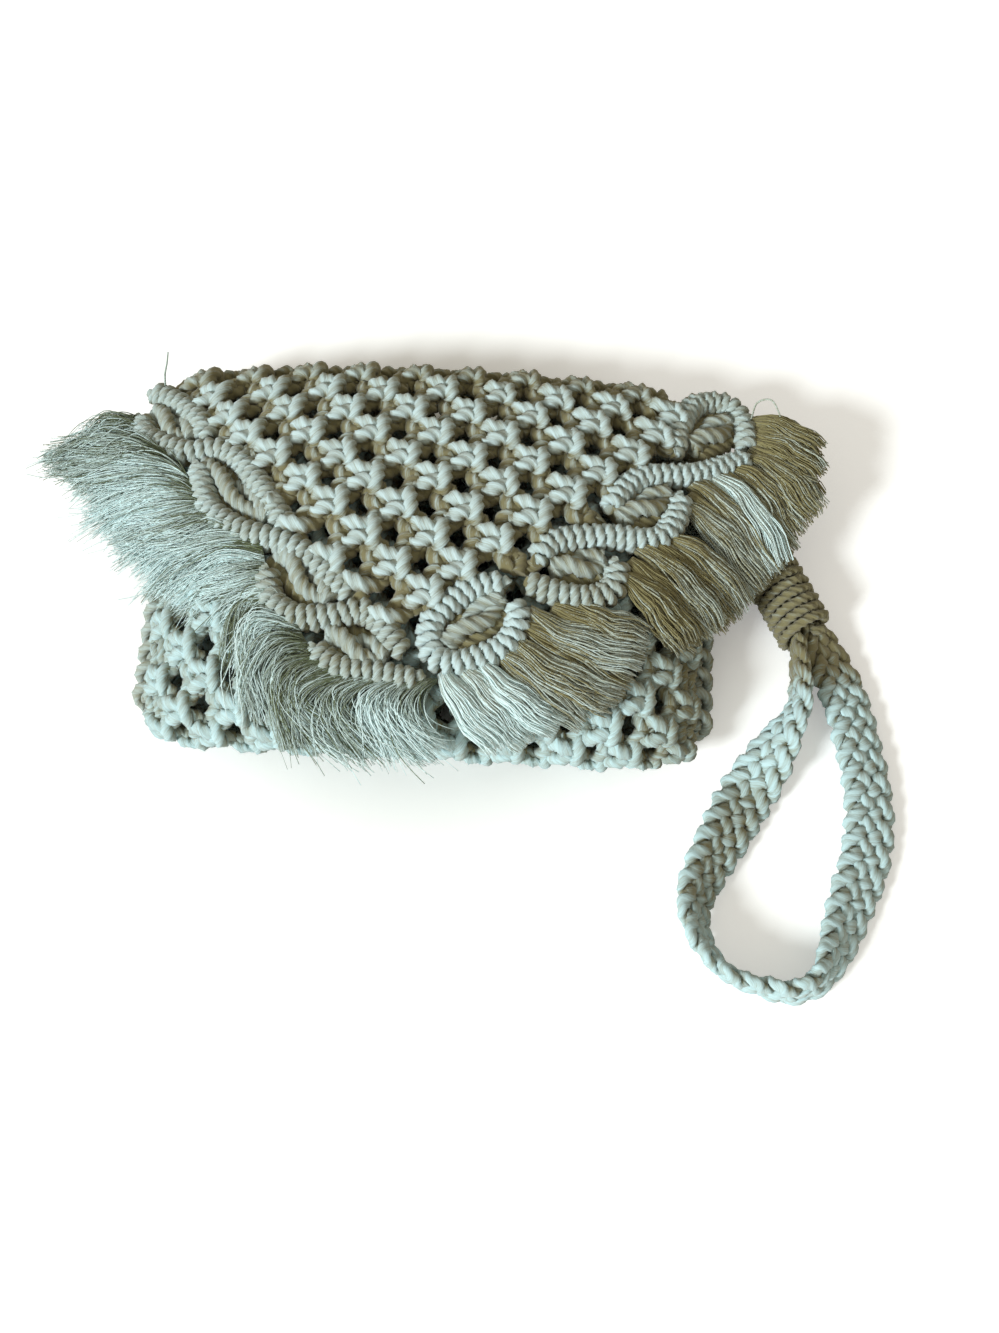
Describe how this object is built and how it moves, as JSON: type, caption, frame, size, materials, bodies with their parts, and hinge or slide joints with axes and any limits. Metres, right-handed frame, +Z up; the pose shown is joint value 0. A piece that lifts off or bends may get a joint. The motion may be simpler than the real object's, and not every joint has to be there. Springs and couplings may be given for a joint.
{
  "type": "macrame clutch",
  "caption": "Knotted cotton clutch bag with a pointed fringed flap, leaf-shaped wrapped rims along the flap and a braided wrist strap held by a wound cord.",
  "frame": {"origin": "middle of the back panel's resting face, with the bag lying on its back", "axes": "+X along the bag to the strap's side, +Y up the bag to the fold of the flap, +Z up from the back to the flap"},
  "size_m": [0.3628, 0.2618, 0.0621],
  "materials": {
    "knotted_mat": "soft twisted cotton cord, square knots",
    "plain_cord": "soft twisted cotton cord",
    "wrapped_rim": "cotton cord in close half hitches",
    "fringe": "brushed-out cotton cord ends",
    "braided_band": "flat braid of cotton cord"
  },
  "bodies": {
    "bag": {"back_panel": "knotted_mat", "bottom_fold": "knotted_mat", "front_panel": "knotted_mat", "fold_back_half": "knotted_mat", "left_side_lacing": "plain_cord", "right_side_lacing": "plain_cord", "mouth_cord": "plain_cord"},
    "flap": {"fold_front_half": "knotted_mat", "flap_panel": "knotted_mat", "left_leaf_rim_1": "wrapped_rim", "left_leaf_cords_1": "plain_cord", "left_fringe_1": "fringe", "left_leaf_rim_2": "wrapped_rim", "left_leaf_cords_2": "plain_cord", "left_fringe_2": "fringe", "left_leaf_rim_3": "wrapped_rim", "left_leaf_cords_3": "plain_cord", "left_fringe_3": "fringe", "left_leaf_rim_4": "wrapped_rim", "left_leaf_cords_4": "plain_cord", "left_fringe_4": "fringe", "right_leaf_rim_1": "wrapped_rim", "right_leaf_cords_1": "plain_cord", "right_fringe_1": "fringe", "right_leaf_rim_2": "wrapped_rim", "right_leaf_cords_2": "plain_cord", "right_fringe_2": "fringe", "right_leaf_rim_3": "wrapped_rim", "right_leaf_cords_3": "plain_cord", "right_fringe_3": "fringe", "right_leaf_rim_4": "wrapped_rim", "right_leaf_cords_4": "plain_cord", "right_fringe_4": "fringe"},
    "strap": {"strap_tail": "plain_cord", "strap_wrap": "plain_cord"},
    "wrist_loop": {"wrist_band": "braided_band"}
  },
  "joints": [
    {"name": "flap_fold", "type": "hinge", "parent": "bag", "child": "flap", "pos_m": [0, 0.08725, 0.02277], "axis": [-1, 0, 0], "range_deg": [0, 165]},
    {"name": "strap_swing", "type": "hinge", "parent": "bag", "child": "strap", "pos_m": [0.1213, 0.024, 0.0052], "axis": [0, 0, 1], "range_deg": [0, 75]},
    {"name": "loop_lift", "type": "hinge", "parent": "strap", "child": "wrist_loop", "pos_m": [0.16178, -0.02871, 0.0125], "axis": [-0.8829, -0.4695, 0], "range_deg": [0, 80]}
  ]
}
